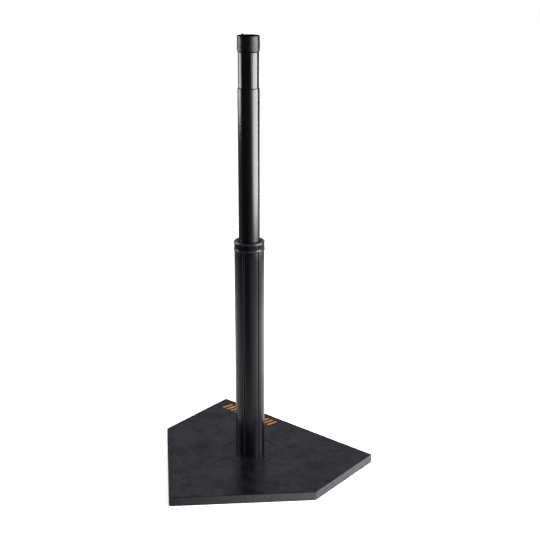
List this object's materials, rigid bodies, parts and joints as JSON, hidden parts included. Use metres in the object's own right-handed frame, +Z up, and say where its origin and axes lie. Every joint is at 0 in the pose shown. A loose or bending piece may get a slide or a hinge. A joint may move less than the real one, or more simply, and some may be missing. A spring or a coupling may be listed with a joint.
{
  "type": "batting tee",
  "caption": "Telescoping rubber batting tee: home-plate base, grooved post with a ringed collar, smooth sliding upper tube and a soft open ball cup.",
  "frame": {"origin": "on the post's axis, in the plane of the base plate's underside (the ground)", "axes": "+Z up along the post and tubes, +Y towards the base plate's long straight edge, so the plate's point is towards -Y; +X to the right seen from the point"},
  "size_m": [0.432, 0.4125, 0.9188],
  "materials": {
    "plate_rubber": "semi-matte moulded black rubber, faintly mottled",
    "print_ink": "orange ink printed on rubber",
    "post_rubber": "satin extruded black rubber",
    "collar_rubber": "satin moulded black rubber",
    "bush_rubber": "matte soft black rubber",
    "guide_plastic": "dark low-friction plastic",
    "tube_rubber": "smooth semi-gloss black rubber",
    "stem_rubber": "smooth gloss black rubber",
    "cup_rubber": "dull soft black rubber"
  },
  "bodies": {
    "base": {"base_plate": "plate_rubber", "plate_print": "print_ink"},
    "post": {"post_tube": "post_rubber", "post_foot": "post_rubber", "post_collar": "collar_rubber", "grip_bush": "bush_rubber"},
    "guide": {"guide_ring": "guide_plastic"},
    "upper": {"upper_tube": "tube_rubber", "foot_plug": "guide_plastic"},
    "head": {"top_stem": "stem_rubber", "ball_cup": "cup_rubber"}
  },
  "joints": [
    {"name": "post_turn", "type": "hinge", "parent": "base", "child": "post", "pos_m": [0, 0, 0], "axis": [0, 0, 1], "continuous": true},
    {"name": "height_slide", "type": "slide", "parent": "post", "child": "guide", "axis": [0, 0, 1], "range_m": [-0.31, 0.021]},
    {"name": "tube_turn", "type": "hinge", "parent": "guide", "child": "upper", "pos_m": [0, 0, 0.45], "axis": [0, 0, 1], "continuous": true},
    {"name": "stem_turn", "type": "hinge", "parent": "upper", "child": "head", "pos_m": [0, 0, 0.8182], "axis": [0, 0, 1], "continuous": true}
  ]
}
